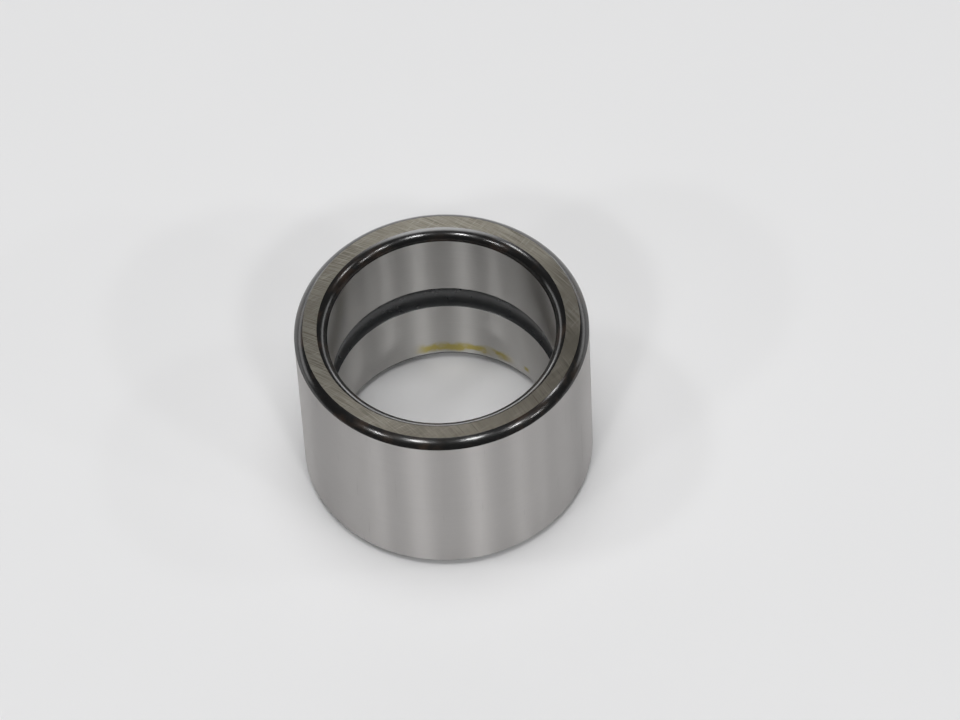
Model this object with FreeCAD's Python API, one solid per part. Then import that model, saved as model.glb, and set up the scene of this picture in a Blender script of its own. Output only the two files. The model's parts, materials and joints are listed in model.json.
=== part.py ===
"""Inner ring of a needle roller bearing: one hardened and ground steel ring.

Frame: +Z along the ring's axis, origin at the centre of the lower end face, so the ring stands
on Z = 0. The radial oil hole points along +X. Millimetres.
"""

import FreeCAD, Part

import math
import os

# Driving dimensions
BORE_DIAMETER = 49.2125        # 1 15/16 in, the seat on the shaft
RACEWAY_DIAMETER = 63.5        # 2 1/2 in, the ground track that the needles run on
WIDTH = 44.45                  # 1 3/4 in, over the two ground end faces

RACEWAY_ROUND_LEG = 1.9        # edge round beside the raceway, measured along each face
RACEWAY_ROUND_SWEEP = 32.0     # degrees that its arc turns: the ground faces cut it short of tangent
BORE_ROUND_LEG = 2.2           # lead-in round beside the bore
BORE_ROUND_SWEEP = 60.0

GROOVE_WIDTH = 6.35            # 1/4 in, annular oil groove half way along the bore
GROOVE_DEPTH = 1.3
GROOVE_EDGE_BREAK = 0.12       # small chamfer left where the ground lands meet the groove

OIL_HOLE_DIAMETER = 3.175      # 1/8 in, radial, from the groove to the raceway
OIL_HOLE_COUNTERSINK = 0.45    # keeps the hole's rim below the needles' path

BORE_RADIUS = BORE_DIAMETER / 2
RACEWAY_RADIUS = RACEWAY_DIAMETER / 2
MID_WIDTH = WIDTH / 2

UP = FreeCAD.Vector(0, 0, 1)


def point(radius, height):
    """A point of the section, which is drawn in the XZ plane."""
    return FreeCAD.Vector(radius, 0, height)


def line(start, end):
    return Part.LineSegment(start, end).toShape()


def arc_towards(start, end, corner, sweep_degrees):
    """The arc from start to end that turns through sweep_degrees and bulges towards corner."""
    chord = end - start
    middle = (start + end) * 0.5
    bulge = corner - middle
    bulge.normalize()
    height = chord.Length / 2 * math.tan(math.radians(sweep_degrees) / 4)
    return Part.Arc(start, middle + bulge * height, end).toShape()


def ring_section():
    """The closed half section, anticlockwise from the foot of the raceway."""
    raceway_foot = point(RACEWAY_RADIUS, RACEWAY_ROUND_LEG)
    raceway_top = point(RACEWAY_RADIUS, WIDTH - RACEWAY_ROUND_LEG)
    top_outer = point(RACEWAY_RADIUS - RACEWAY_ROUND_LEG, WIDTH)
    top_inner = point(BORE_RADIUS + BORE_ROUND_LEG, WIDTH)
    bore_top = point(BORE_RADIUS, WIDTH - BORE_ROUND_LEG)
    bore_foot = point(BORE_RADIUS, BORE_ROUND_LEG)
    foot_inner = point(BORE_RADIUS + BORE_ROUND_LEG, 0)
    foot_outer = point(RACEWAY_RADIUS - RACEWAY_ROUND_LEG, 0)

    half_groove = GROOVE_WIDTH / 2
    land_upper_edge = point(BORE_RADIUS, MID_WIDTH + half_groove + GROOVE_EDGE_BREAK)
    groove_upper_edge = point(BORE_RADIUS + GROOVE_EDGE_BREAK, MID_WIDTH + half_groove)
    groove_floor = point(BORE_RADIUS + GROOVE_DEPTH, MID_WIDTH)
    groove_lower_edge = point(BORE_RADIUS + GROOVE_EDGE_BREAK, MID_WIDTH - half_groove)
    land_lower_edge = point(BORE_RADIUS, MID_WIDTH - half_groove - GROOVE_EDGE_BREAK)

    edges = [
        line(raceway_foot, raceway_top),
        arc_towards(raceway_top, top_outer, point(RACEWAY_RADIUS, WIDTH), RACEWAY_ROUND_SWEEP),
        line(top_outer, top_inner),
        arc_towards(top_inner, bore_top, point(BORE_RADIUS, WIDTH), BORE_ROUND_SWEEP),
        line(bore_top, land_upper_edge),
        line(land_upper_edge, groove_upper_edge),
        Part.Arc(groove_upper_edge, groove_floor, groove_lower_edge).toShape(),
        line(groove_lower_edge, land_lower_edge),
        line(land_lower_edge, bore_foot),
        arc_towards(bore_foot, foot_inner, point(BORE_RADIUS, 0), BORE_ROUND_SWEEP),
        line(foot_inner, foot_outer),
        arc_towards(foot_outer, raceway_foot, point(RACEWAY_RADIUS, 0), RACEWAY_ROUND_SWEEP),
    ]
    return Part.Face(Part.Wire(edges))


def oil_hole():
    """The drill and its countersink, along +X from inside the bore to past the raceway."""
    outward = FreeCAD.Vector(1, 0, 0)
    radius = OIL_HOLE_DIAMETER / 2
    start = FreeCAD.Vector(BORE_RADIUS - 1, 0, MID_WIDTH)
    drill = Part.makeCylinder(radius, RACEWAY_RADIUS - BORE_RADIUS + 2, start, outward)
    sink_start = FreeCAD.Vector(RACEWAY_RADIUS - OIL_HOLE_COUNTERSINK, 0, MID_WIDTH)
    sink_depth = 2 * OIL_HOLE_COUNTERSINK
    countersink = Part.makeCone(radius, radius + sink_depth, sink_depth, sink_start, outward)
    return drill.fuse(countersink)


def inner_ring():
    ring = ring_section().revolve(FreeCAD.Vector(0, 0, 0), UP, 360)
    return ring.cut(oil_hole()).Solids[0]


def main():
    os.makedirs("parts", exist_ok=True)
    ring = inner_ring()
    ring.exportStep("parts/inner_ring.step")
    box = ring.optimalBoundingBox(False)
    print("inner_ring: valid", ring.isValid(), "volume mm3", round(ring.Volume, 1))
    print("box mm", round(box.XLength, 3), round(box.YLength, 3), round(box.ZLength, 3))


main()
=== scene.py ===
"""The inner ring of a needle roller bearing: ground steel with black scale left on its edge rounds
and in its oil groove, on a pale floor under a row of ceiling lamps. Metres, in the CAD frame."""

import json
import math

import bmesh
import bpy
from mathutils import Matrix, Vector


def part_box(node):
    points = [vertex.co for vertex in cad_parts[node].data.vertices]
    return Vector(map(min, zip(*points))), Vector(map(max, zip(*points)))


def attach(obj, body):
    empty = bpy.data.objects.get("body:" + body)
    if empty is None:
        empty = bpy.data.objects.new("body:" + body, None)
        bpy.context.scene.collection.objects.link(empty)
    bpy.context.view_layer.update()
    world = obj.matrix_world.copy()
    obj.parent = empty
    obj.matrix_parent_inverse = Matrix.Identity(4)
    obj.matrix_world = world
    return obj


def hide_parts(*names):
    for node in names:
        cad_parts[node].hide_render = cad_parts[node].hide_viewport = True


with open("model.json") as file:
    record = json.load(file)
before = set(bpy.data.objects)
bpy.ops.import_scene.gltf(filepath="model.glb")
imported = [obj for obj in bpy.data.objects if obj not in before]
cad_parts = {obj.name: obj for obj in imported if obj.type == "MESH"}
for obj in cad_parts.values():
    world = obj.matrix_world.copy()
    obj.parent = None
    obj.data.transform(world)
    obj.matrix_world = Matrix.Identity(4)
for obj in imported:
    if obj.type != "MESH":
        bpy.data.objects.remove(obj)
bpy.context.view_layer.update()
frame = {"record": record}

MM = 0.001

# The ring's sizes, from the frame
lowest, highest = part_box("inner_ring")
mounts = {mount["name"]: mount for mount in frame["record"]["mounts"]}
WIDTH = highest.z - lowest.z
MID_WIDTH = (highest.z + lowest.z) / 2
RACEWAY_RADIUS = mounts["raceway"]["dims"]["r_mm"] * MM
BORE_RADIUS = mounts["bore"]["dims"]["r_mm"] * MM
RACEWAY_ROUND_LEG = (WIDTH - mounts["raceway"]["dims"]["length_mm"] * MM) / 2
BORE_ROUND_LEG = (WIDTH - mounts["bore"]["dims"]["length_mm"] * MM) / 2
RING_CENTRE = Vector((0, 0, MID_WIDTH))

# Sizes that the record doesn't hold, as in the CAD model
RACEWAY_ROUND_SWEEP = math.radians(32)
BORE_ROUND_SWEEP = math.radians(60)
GROOVE_HALF_WIDTH = 6.35 / 2 * MM
GROOVE_DEPTH = 1.3 * MM
GROOVE_EDGE_BREAK = 0.12 * MM
OIL_HOLE_RADIUS = 3.175 / 2 * MM
OIL_HOLE_COUNTERSINK = 0.45 * MM

# Fineness of the mesh
RING_SEGMENTS = 480
ROUND_STEPS = 14
GROOVE_STEPS = 28
HOLE_SEGMENTS = 64

# The camera looks along +Y, down at the ring
CAMERA_ELEVATION = math.radians(53.45)
CAMERA_DISTANCE = 1.229
CAMERA_LENS = 211.6
CAMERA_ROLL = math.radians(-3.76)
AIM_RIGHT = 7.58 * MM      # the point aimed at, from the ring's centre, across and up the picture
AIM_UP = 5.87 * MM


# --- Mesh -------------------------------------------------------------------------------------

class Arc:
    """A circular arc of the section, in (radius, height), from start to end, bulging to one side."""

    def __init__(self, start, end, towards, sweep, steps, concave=False):
        chord = end - start
        middle = (start + end) / 2
        bulge = (towards - middle).normalized()
        self.radius = chord.length / 2 / math.sin(sweep / 2)
        self.centre = middle - bulge * self.radius * math.cos(sweep / 2)
        self.facing = -1 if concave else 1
        first = (start - self.centre).normalized()
        side = Vector((-first.y, first.x))
        if side.dot(chord) < 0:
            side = -side
        self.points = []
        for step in range(steps + 1):
            angle = sweep * step / steps
            outward = first * math.cos(angle) + side * math.sin(angle)
            self.points.append(self.centre + self.radius * outward)

    def normal(self, place):
        return (place - self.centre).normalized() * self.facing


class Straight:
    """A straight stretch of the section, with the normal of its outer side."""

    def __init__(self, start, end, facing):
        self.points = [start, end]
        self.facing = Vector(facing).normalized()

    def normal(self, place):
        return self.facing


def ring_section():
    """The closed half section as (finish, stretch) pairs, from the foot of the raceway round to it."""
    bottom, top = lowest.z, highest.z
    outer, inner = RACEWAY_RADIUS, BORE_RADIUS
    raceway_foot = Vector((outer, bottom + RACEWAY_ROUND_LEG))
    raceway_top = Vector((outer, top - RACEWAY_ROUND_LEG))
    top_outer = Vector((outer - RACEWAY_ROUND_LEG, top))
    top_inner = Vector((inner + BORE_ROUND_LEG, top))
    bore_top = Vector((inner, top - BORE_ROUND_LEG))
    bore_foot = Vector((inner, bottom + BORE_ROUND_LEG))
    foot_inner = Vector((inner + BORE_ROUND_LEG, bottom))
    foot_outer = Vector((outer - RACEWAY_ROUND_LEG, bottom))

    half, ease = GROOVE_HALF_WIDTH, GROOVE_EDGE_BREAK
    upper_land_edge = Vector((inner, MID_WIDTH + half + ease))
    groove_upper_edge = Vector((inner + ease, MID_WIDTH + half))
    groove_lower_edge = Vector((inner + ease, MID_WIDTH - half))
    lower_land_edge = Vector((inner, MID_WIDTH - half - ease))
    groove_sweep = 4 * math.atan((GROOVE_DEPTH - ease) / half)

    return [
        ("raceway", Straight(raceway_foot, raceway_top, (1, 0))),
        ("edge", Arc(raceway_top, top_outer, Vector((outer, top)), RACEWAY_ROUND_SWEEP, ROUND_STEPS)),
        ("face", Straight(top_outer, top_inner, (0, 1))),
        ("edge", Arc(top_inner, bore_top, Vector((inner, top)), BORE_ROUND_SWEEP, ROUND_STEPS)),
        ("bore", Straight(bore_top, upper_land_edge, (-1, 0))),
        ("groove", Straight(upper_land_edge, groove_upper_edge, (-1, -1))),
        ("groove", Arc(groove_upper_edge, groove_lower_edge, Vector((outer, MID_WIDTH)),
                       groove_sweep, GROOVE_STEPS, concave=True)),
        ("groove", Straight(groove_lower_edge, lower_land_edge, (-1, 1))),
        ("bore", Straight(lower_land_edge, bore_foot, (-1, 0))),
        ("edge", Arc(bore_foot, foot_inner, Vector((inner, bottom)), BORE_ROUND_SWEEP, ROUND_STEPS)),
        ("face", Straight(foot_inner, foot_outer, (0, -1))),
        ("edge", Arc(foot_outer, raceway_foot, Vector((outer, bottom)), RACEWAY_ROUND_SWEEP, ROUND_STEPS)),
    ]


FINISHES = ["raceway", "face", "bore", "edge", "groove", "oil_hole"]


def revolve(section, name):
    """The section swept round Z. Each face keeps its finish, and the number of its stretch."""
    mesh = bmesh.new()
    stretch_layer = mesh.faces.layers.int.new("stretch")
    outline = []
    for number, (finish, stretch) in enumerate(section):
        outline += [(place, finish, number) for place in stretch.points[:-1]]
    circles = []
    for place, _, _ in outline:
        circle = []
        for step in range(RING_SEGMENTS):
            angle = 2 * math.pi * step / RING_SEGMENTS
            circle.append(mesh.verts.new((place.x * math.cos(angle), place.x * math.sin(angle), place.y)))
        circles.append(circle)
    for index, (place, finish, number) in enumerate(outline):
        low, high = circles[index], circles[(index + 1) % len(circles)]
        for step in range(RING_SEGMENTS):
            after = (step + 1) % RING_SEGMENTS
            face = mesh.faces.new((low[step], low[after], high[after], high[step]))
            face.material_index = FINISHES.index(finish)
            face[stretch_layer] = number
    return to_object(mesh, name)


def to_object(mesh, name):
    data = bpy.data.meshes.new(name)
    mesh.to_mesh(data)
    mesh.free()
    made = bpy.data.objects.new(name, data)
    bpy.context.scene.collection.objects.link(made)
    return made


def oil_hole_cutter():
    """The drill and its countersink, lathed about the X axis."""
    inside = BORE_RADIUS - 1 * MM
    sink_start = RACEWAY_RADIUS - OIL_HOLE_COUNTERSINK
    outside = RACEWAY_RADIUS + OIL_HOLE_COUNTERSINK
    wide = OIL_HOLE_RADIUS + 2 * OIL_HOLE_COUNTERSINK
    stations = [(inside, OIL_HOLE_RADIUS), (sink_start, OIL_HOLE_RADIUS), (outside, wide)]
    mesh = bmesh.new()
    circles = []
    for reach, radius in stations:
        circle = []
        for step in range(HOLE_SEGMENTS):
            angle = 2 * math.pi * step / HOLE_SEGMENTS
            height = MID_WIDTH + radius * math.sin(angle)
            circle.append(mesh.verts.new((reach, radius * math.cos(angle), height)))
        circles.append(circle)
    for near, far in zip(circles, circles[1:]):
        for step in range(HOLE_SEGMENTS):
            after = (step + 1) % HOLE_SEGMENTS
            mesh.faces.new((near[step], near[after], far[after], far[step]))
    mesh.faces.new(reversed(circles[0]))
    mesh.faces.new(circles[-1])
    for face in mesh.faces:
        face.material_index = FINISHES.index("oil_hole")
    bmesh.ops.recalc_face_normals(mesh, faces=mesh.faces)
    return to_object(mesh, "oil_hole_cutter")


def cut(piece, cutter):
    """piece with cutter taken out of it. The cutter is deleted."""
    for thing in (piece, cutter):
        for finish in FINISHES:
            thing.data.materials.append(materials[finish])
    boolean = piece.modifiers.new("cut", "BOOLEAN")
    boolean.operation = "DIFFERENCE"
    boolean.solver = "EXACT"
    boolean.object = cutter
    bpy.context.view_layer.update()
    finished = bpy.data.meshes.new_from_object(piece.evaluated_get(bpy.context.evaluated_depsgraph_get()))
    piece.modifiers.clear()
    piece.data = finished
    bpy.data.objects.remove(cutter)


def set_exact_normals(piece, section):
    """Shades each face with the normals of its own true surface, so reflections have no facets."""
    data = piece.data
    stretches = data.attributes["stretch"].data
    normals = []
    for polygon in data.polygons:
        polygon.use_smooth = True
        in_hole = FINISHES[polygon.material_index] == "oil_hole"
        stretch = section[stretches[polygon.index].value][1]
        face_sits_outside = polygon.center.x > RACEWAY_RADIUS - OIL_HOLE_COUNTERSINK
        for corner in polygon.vertices:
            place = data.vertices[corner].co
            if in_hole:
                inward = Vector((0, -place.y, MID_WIDTH - place.z)).normalized()
                normals.append((inward + Vector((1, 0, 0)) * face_sits_outside).normalized())
                continue
            radius = math.hypot(place.x, place.y)
            flat = stretch.normal(Vector((radius, place.z)))
            normals.append(Vector((place.x / radius * flat.x, place.y / radius * flat.x, flat.y)))
    data.normals_split_custom_set(normals)


# --- Materials --------------------------------------------------------------------------------

class Nodes:
    """A short way to write a node tree: each call adds one node and returns its output."""

    def __init__(self, name):
        self.material = bpy.data.materials.new(name)
        self.material.use_nodes = True
        self.tree = self.material.node_tree
        self.shader = self.tree.nodes["Principled BSDF"]

    def add(self, kind, **settings):
        node = self.tree.nodes.new(kind)
        for key, value in settings.items():
            setattr(node, key, value)
        return node

    def feed(self, socket, value):
        if isinstance(value, bpy.types.NodeSocket):
            self.tree.links.new(value, socket)
        else:
            socket.default_value = value

    def maths(self, operation, *values):
        node = self.add("ShaderNodeMath", operation=operation)
        for socket, value in zip(node.inputs, values):
            self.feed(socket, value)
        return node.outputs[0]

    def vector(self, x, y, z):
        node = self.add("ShaderNodeCombineXYZ")
        for socket, value in zip(node.inputs, (x, y, z)):
            self.feed(socket, value)
        return node.outputs[0]

    def place(self):
        """The surface's place in the CAD frame, in millimetres, as three outputs."""
        split = self.add("ShaderNodeSeparateXYZ")
        self.feed(split.inputs[0], self.add("ShaderNodeTexCoord").outputs["Object"])
        return [self.maths("MULTIPLY", output, 1 / MM) for output in split.outputs]

    def noise(self, vector, scale, detail=2.0, roughness=0.5):
        node = self.add("ShaderNodeTexNoise")
        self.feed(node.inputs["Vector"], vector)
        self.feed(node.inputs["Scale"], scale)
        self.feed(node.inputs["Detail"], detail)
        self.feed(node.inputs["Roughness"], roughness)
        return node.outputs["Fac"]

    def remap(self, value, low, high, new_low=0.0, new_high=1.0, smooth=False):
        node = self.add("ShaderNodeMapRange", interpolation_type="SMOOTHSTEP" if smooth else "LINEAR")
        for socket, item in zip(node.inputs, (value, low, high, new_low, new_high)):
            self.feed(socket, item)
        return node.outputs["Result"]

    def mix(self, share, first, second):
        node = self.add("ShaderNodeMix", data_type="RGBA")
        self.feed(node.inputs["Factor"], share)
        for socket, value in zip((node.inputs[6], node.inputs[7]), (first, second)):
            self.feed(socket, value if isinstance(value, bpy.types.NodeSocket) else (*value, 1))
        return node.outputs[2]

    def bump(self, height, distance):
        node = self.add("ShaderNodeBump")
        self.feed(node.inputs["Height"], height)
        self.feed(node.inputs["Distance"], distance)
        self.feed(node.inputs["Strength"], 1.0)
        return node.outputs["Normal"]


SCALE_IOR = 1.75      # iron oxide is denser than glass, so its gloss is stronger
SCALE_RUST = (0.075, 0.045, 0.028)
QUARTER_TURN = 0.25   # of a whole turn, as the shader counts it

# Ground cylinders: lines per millimetre across and along the lay, roughness, and depth of the lines
LAY_ACROSS = 9.0
LAY_ALONG = 0.05
WALL_ROUGHNESS = (0.39, 0.41)
WALL_LINE_DEPTH = 0.001 * MM
HAIRLINE = (0.36, 0.35, 0.34)

# The dried oil in the bore, in radians from +Y towards +X and millimetres above the lower face
OIL = (0.44, 0.37, 0.12)
STAIN_START, STAIN_END = math.radians(-12), math.radians(36)
STAIN_BOTTOM, STAIN_TOP = 3.2, 5.6
SPOT_START, SPOT_END = math.radians(46.5), math.radians(49.5)
SPOT_BOTTOM, SPOT_TOP = 4.0, 5.2

# The end face: the headings of its two sets of marks, its colours, and where its painted shade is heaviest
MAIN_HEADING = math.radians(-43)
CROSSING_HEADING = math.radians(38)
MARK_DARK, MARK_LIGHT = (0.205, 0.19, 0.157), (0.50, 0.475, 0.41)
CROSSING_MARK = (0.68, 0.65, 0.58)
FACE_CLOUD = (0.24, 0.215, 0.175)
# The dark colour of the painted shade on the end face, and the direction in which it deepens
FACE_PAINTED_SHADE = (0.10, 0.088, 0.07)
PAINTED_SHADE_TOWARDS = (0.5, -0.87)
FACE_MARK_DEPTH = 0.006 * MM


def circumferential_lay(nodes, x, y, z, across, along):
    """Noise drawn out into fine lines round the ring's axis, as a grinding wheel leaves them."""
    stretched = nodes.vector(nodes.maths("MULTIPLY", x, along), nodes.maths("MULTIPLY", y, along),
                             nodes.maths("MULTIPLY", z, across))
    return nodes.noise(stretched, 1.0, detail=3.0, roughness=0.6)


def lay_round_axis(nodes, roughness, anisotropy):
    """Makes reflections smear across the grinding lines, which run round the Z axis."""
    tangent = nodes.add("ShaderNodeTangent", direction_type="RADIAL", axis="Z")
    nodes.feed(nodes.shader.inputs["Tangent"], tangent.outputs[0])
    nodes.shader.inputs["Anisotropic"].default_value = anisotropy
    nodes.shader.inputs["Anisotropic Rotation"].default_value = QUARTER_TURN
    nodes.feed(nodes.shader.inputs["Roughness"], roughness)


def within(nodes, value, low, high, fade):
    """1 where value lies between low and high, fading to 0 over fade on either side."""
    rise = nodes.remap(value, low - fade, low + fade, smooth=True)
    fall = nodes.remap(value, high - fade, high + fade, 1.0, 0.0, smooth=True)
    return nodes.maths("MULTIPLY", rise, fall)


def straight_marks(nodes, x, y, heading, bow, across, along, wander):
    """Fine marks across the end face, running at heading from +X and bowed outwards a little."""
    cos, sin = math.cos(heading), math.sin(heading)
    run = nodes.maths("ADD", nodes.maths("MULTIPLY", x, cos), nodes.maths("MULTIPLY", y, sin))
    side = nodes.maths("SUBTRACT", nodes.maths("MULTIPLY", y, cos), nodes.maths("MULTIPLY", x, sin))
    bowed = nodes.maths("ADD", side, nodes.maths("MULTIPLY", nodes.maths("MULTIPLY", run, run), bow))
    stretched = nodes.vector(nodes.maths("MULTIPLY", run, along), nodes.maths("MULTIPLY", bowed, across),
                             wander)
    return nodes.noise(stretched, 1.0, detail=4.0, roughness=0.65)


def raceway_material():
    nodes = Nodes("raceway")
    x, y, z = nodes.place()
    lay = circumferential_lay(nodes, x, y, z, LAY_ACROSS, LAY_ALONG)
    patches = nodes.noise(nodes.vector(x, y, z), 0.09, detail=2.0)
    hairlines = nodes.noise(nodes.vector(nodes.maths("MULTIPLY", x, 1.4), nodes.maths("MULTIPLY", y, 1.4),
                                         nodes.maths("MULTIPLY", z, 0.06)), 1.0, detail=4.0)
    ground = nodes.mix(nodes.remap(lay, 0.3, 0.7), (0.515, 0.50, 0.49), (0.54, 0.525, 0.515))
    scratched = nodes.mix(nodes.remap(hairlines, 0.66, 0.74, 0.0, 0.35), ground, HAIRLINE)
    nodes.feed(nodes.shader.inputs["Base Color"], scratched)
    nodes.shader.inputs["Metallic"].default_value = 1.0
    lay_round_axis(nodes, nodes.remap(patches, 0.3, 0.7, *WALL_ROUGHNESS), 1.0)
    nodes.feed(nodes.shader.inputs["Normal"], nodes.bump(lay, WALL_LINE_DEPTH))
    return nodes.material


def bore_material():
    nodes = Nodes("bore")
    x, y, z = nodes.place()
    lay = circumferential_lay(nodes, x, y, z, LAY_ACROSS, LAY_ALONG)
    ground = nodes.mix(nodes.remap(lay, 0.3, 0.7), (0.51, 0.50, 0.485), (0.55, 0.54, 0.525))
    nodes.feed(nodes.shader.inputs["Base Color"], oil_stain(nodes, x, y, z, ground))
    nodes.shader.inputs["Metallic"].default_value = 1.0
    lay_round_axis(nodes, nodes.remap(lay, 0.3, 0.7, *WALL_ROUGHNESS), 1.0)
    nodes.feed(nodes.shader.inputs["Normal"], nodes.bump(lay, WALL_LINE_DEPTH))
    return nodes.material


def oil_stain(nodes, x, y, z, clean):
    """An amber film of dried oil low down in the bore, on the +Y side and towards +X."""
    azimuth = nodes.maths("ARCTAN2", x, y)
    ragged = nodes.noise(nodes.vector(x, y, z), 0.35, detail=2.0, roughness=0.5)
    height = nodes.maths("ADD", z, nodes.remap(ragged, 0.3, 0.7, -0.6, 0.6))
    film = nodes.maths("MULTIPLY", within(nodes, azimuth, STAIN_START, STAIN_END, 0.09),
                       within(nodes, height, STAIN_BOTTOM, STAIN_TOP, 0.7))
    spot = nodes.maths("MULTIPLY", within(nodes, azimuth, SPOT_START, SPOT_END, 0.02),
                       within(nodes, z, SPOT_BOTTOM, SPOT_TOP, 0.4))
    thinned = nodes.maths("MULTIPLY", film, nodes.remap(ragged, 0.35, 0.55, 0.35, 1.0))
    return nodes.mix(nodes.maths("MAXIMUM", thinned, spot), clean, OIL)


def face_material():
    """Crossed grinding marks, darkened towards +X and -Y by a brownish painted shade, which is fixed to the
    ring.
    """
    nodes = Nodes("face")
    x, y, z = nodes.place()
    main = straight_marks(nodes, x, y, MAIN_HEADING, bow=0.006, across=6.5, along=0.12, wander=0.0)
    crossing = straight_marks(nodes, x, y, CROSSING_HEADING, bow=-0.004, across=4.0, along=0.15, wander=7.0)
    cloud = nodes.noise(nodes.vector(x, y, z), 0.12, detail=3.0)
    tint = nodes.mix(nodes.remap(main, 0.38, 0.62), MARK_DARK, MARK_LIGHT)
    crossed = nodes.mix(nodes.remap(crossing, 0.56, 0.66, 0.0, 0.6), tint, CROSSING_MARK)
    dulled = nodes.mix(nodes.remap(cloud, 0.35, 0.65, 0.0, 0.25), crossed, FACE_CLOUD)
    # Painted shade: the face turns darker and browner towards +X and -Y, standing in for the weaker sheen
    # on that side
    towards_painted_shade = nodes.maths("ADD", nodes.maths("MULTIPLY", x, PAINTED_SHADE_TOWARDS[0]),
                               nodes.maths("MULTIPLY", y, PAINTED_SHADE_TOWARDS[1]))
    uneven = nodes.maths("ADD", towards_painted_shade, nodes.remap(cloud, 0.3, 0.7, -6.0, 6.0))
    film = nodes.remap(uneven, 4.0, 30.0, 0.0, 0.6, smooth=True)
    nodes.feed(nodes.shader.inputs["Base Color"], nodes.mix(film, dulled, FACE_PAINTED_SHADE))
    nodes.shader.inputs["Metallic"].default_value = 1.0
    lay_round_axis(nodes, nodes.remap(main, 0.3, 0.7, 0.42, 0.47), 0.4)
    both = nodes.maths("ADD", main, nodes.maths("MULTIPLY", crossing, 0.5))
    nodes.feed(nodes.shader.inputs["Normal"], nodes.bump(both, FACE_MARK_DEPTH))
    return nodes.material


def scale_material(name, colour, roughness, rust=0.0):
    """Hard black scale from heat treatment, with an even gloss and, where rust is given, brown patches."""
    nodes = Nodes(name)
    x, y, z = nodes.place()
    patches = nodes.noise(nodes.vector(x, y, z), 0.5, detail=3.0)
    blotches = nodes.noise(nodes.vector(x, y, z), 0.22, detail=4.0, roughness=0.6)
    scale = nodes.mix(patches, colour, tuple(0.6 * channel for channel in colour))
    browned = nodes.mix(nodes.remap(blotches, 0.5, 0.68, 0.0, rust), scale, SCALE_RUST)
    nodes.feed(nodes.shader.inputs["Base Color"], browned)
    nodes.feed(nodes.shader.inputs["Roughness"], nodes.remap(patches, 0.3, 0.7, roughness, roughness * 1.3))
    nodes.shader.inputs["IOR"].default_value = SCALE_IOR
    return nodes.material


def floor_material():
    nodes = Nodes("floor")
    x, y, z = nodes.place()
    mottle = nodes.noise(nodes.vector(x, y, z), 0.02, detail=3.0)
    pale = nodes.mix(mottle, (0.805, 0.805, 0.81), (0.82, 0.82, 0.825))
    nodes.feed(nodes.shader.inputs["Base Color"], pale)
    nodes.shader.inputs["Roughness"].default_value = 0.9
    nodes.shader.inputs["Specular IOR Level"].default_value = 0.1
    return nodes.material


# --- Studio -----------------------------------------------------------------------------------

# Lamps of one size in a ceiling: an even row on the camera's side, and a dimmer lamp to each side
CEILING_HEIGHT = 2.0           # above the middle of the ring
LAMP_WIDTH = 0.26
LAMP_LENGTH = 0.28
ROW_LAMPS = 5
ROW_START = -2.2               # X of the row's first lamp
ROW_SPACING = 1.4
ROW_Y = -1.8
ROW_RADIANCE = 55
LEFT_LAMP_X = -1.2
RIGHT_LAMP_X = 2.1
SIDE_LAMP_RADIANCE = 22

# Pale panels low on the walls, which the ring's flanks reflect
WALL_DISTANCE = 2.0
WALL_PANEL_HEIGHT = 0.42
WALL_PANEL_ELEVATION = math.radians(10)
FAR_PANEL_WIDTH = 2.4
FAR_PANEL_RADIANCE = 3.4
FLANK_PANEL_WIDTH = 1.75
FLANK_PANEL_RADIANCE = 1.6
FLANK_PANEL_ANGLE = math.radians(55)    # on either side of +Y

FLOOR_HALF_SIDE = 6.0

ROOM_BRIGHTNESS = 0.04
OVERHEAD_BRIGHTNESS = 5.5      # more than the room's, straight overhead
OVERHEAD_STARTS = 0.91         # sine of the elevation where the overhead light begins


def add_area_light(name, place, rotation, width, height, radiance):
    """A rectangular light that is equally bright from everywhere in front of it."""
    light = bpy.data.lights.new(name, "AREA")
    light.shape = "RECTANGLE"
    light.size = width
    light.size_y = height
    light.energy = radiance * math.pi * width * height
    lamp = bpy.data.objects.new(name, light)
    lamp.location = RING_CENTRE + place
    lamp.rotation_euler = rotation
    bpy.context.scene.collection.objects.link(lamp)


def add_ceiling_lamp(name, x, y, radiance):
    facing_down = (0, 0, 0)
    add_area_light(name, Vector((x, y, CEILING_HEIGHT)), facing_down, LAMP_WIDTH, LAMP_LENGTH, radiance)


def add_wall_panel(name, angle, width, radiance):
    """A panel on the far side of the ring, at angle from +Y towards +X, facing the ring."""
    level = math.cos(WALL_PANEL_ELEVATION)
    outward = Vector((math.sin(angle) * level, math.cos(angle) * level, math.sin(WALL_PANEL_ELEVATION)))
    facing_ring = outward.to_track_quat("Z", "Y").to_euler()
    add_area_light(name, outward * WALL_DISTANCE, facing_ring, width, WALL_PANEL_HEIGHT, radiance)


def add_lights():
    for number in range(ROW_LAMPS):
        add_ceiling_lamp(f"row_lamp_{number + 1}", ROW_START + ROW_SPACING * number, ROW_Y, ROW_RADIANCE)
    add_ceiling_lamp("left_lamp", LEFT_LAMP_X, 0, SIDE_LAMP_RADIANCE)
    add_ceiling_lamp("right_lamp", RIGHT_LAMP_X, 0, SIDE_LAMP_RADIANCE)
    add_wall_panel("far_panel", 0, FAR_PANEL_WIDTH, FAR_PANEL_RADIANCE)
    add_wall_panel("left_panel", -FLANK_PANEL_ANGLE, FLANK_PANEL_WIDTH, FLANK_PANEL_RADIANCE)
    add_wall_panel("right_panel", FLANK_PANEL_ANGLE, FLANK_PANEL_WIDTH, FLANK_PANEL_RADIANCE)


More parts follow.
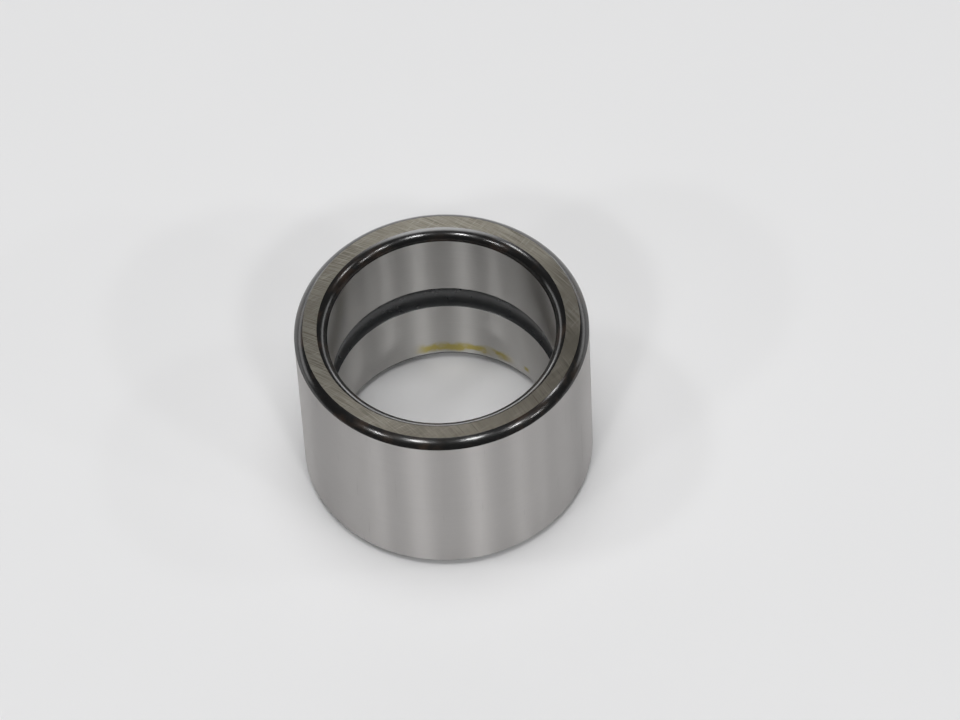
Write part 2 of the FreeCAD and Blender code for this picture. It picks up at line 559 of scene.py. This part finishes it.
def add_world():
    """A pale room that brightens towards a broad soft light overhead."""
    world = bpy.data.worlds.new("room")
    bpy.context.scene.world = world
    world.use_nodes = True
    tree = world.node_tree
    direction = tree.nodes.new("ShaderNodeSeparateXYZ")
    tree.links.new(tree.nodes.new("ShaderNodeTexCoord").outputs["Generated"], direction.inputs[0])
    overhead = tree.nodes.new("ShaderNodeMapRange")
    overhead.interpolation_type = "SMOOTHSTEP"
    tree.links.new(direction.outputs["Z"], overhead.inputs["Value"])
    overhead.inputs["From Min"].default_value = OVERHEAD_STARTS
    overhead.inputs["To Min"].default_value = ROOM_BRIGHTNESS
    overhead.inputs["To Max"].default_value = ROOM_BRIGHTNESS + OVERHEAD_BRIGHTNESS
    background = tree.nodes["Background"]
    background.inputs["Color"].default_value = (1, 1, 1, 1)
    tree.links.new(overhead.outputs["Result"], background.inputs["Strength"])


def add_floor():
    mesh = bmesh.new()
    bmesh.ops.create_grid(mesh, x_segments=8, y_segments=8, size=FLOOR_HALF_SIDE)
    floor = to_object(mesh, "floor")
    floor.location.z = lowest.z
    floor.data.materials.append(floor_material())


def add_camera():
    away = Vector((0, -math.cos(CAMERA_ELEVATION), math.sin(CAMERA_ELEVATION)))
    data = bpy.data.cameras.new("camera")
    data.sensor_width = 36.0
    data.lens = CAMERA_LENS
    data.clip_start = 0.05
    camera = bpy.data.objects.new("camera", data)
    look_down = Matrix.Rotation(math.pi / 2 - CAMERA_ELEVATION, 4, "X")
    roll = Matrix.Rotation(CAMERA_ROLL, 4, "Z")
    aim_across = Matrix.Rotation(-math.atan2(AIM_RIGHT, CAMERA_DISTANCE), 4, "Y")
    aim_up = Matrix.Rotation(math.atan2(AIM_UP, CAMERA_DISTANCE), 4, "X")
    place = Matrix.Translation(RING_CENTRE + away * CAMERA_DISTANCE)
    camera.matrix_world = place @ look_down @ roll @ aim_across @ aim_up
    bpy.context.scene.collection.objects.link(camera)
    bpy.context.scene.camera = camera


# --- Scene ------------------------------------------------------------------------------------

materials = {
    "raceway": raceway_material(),
    "face": face_material(),
    "bore": bore_material(),
    "edge": scale_material("edge_scale", (0.009, 0.009, 0.0088), 0.17, rust=0.35),
    "groove": scale_material("groove_scale", (0.014, 0.016, 0.018), 0.26),
    "oil_hole": scale_material("oil_hole_scale", (0.03, 0.03, 0.03), 0.4),
}

add_camera()
section = ring_section()
ring = revolve(section, "inner_ring_finished")
cut(ring, oil_hole_cutter())
set_exact_normals(ring, section)
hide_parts("inner_ring")
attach(ring, "root")

add_floor()
add_world()
add_lights()
bpy.context.scene.view_settings.view_transform = "Standard"
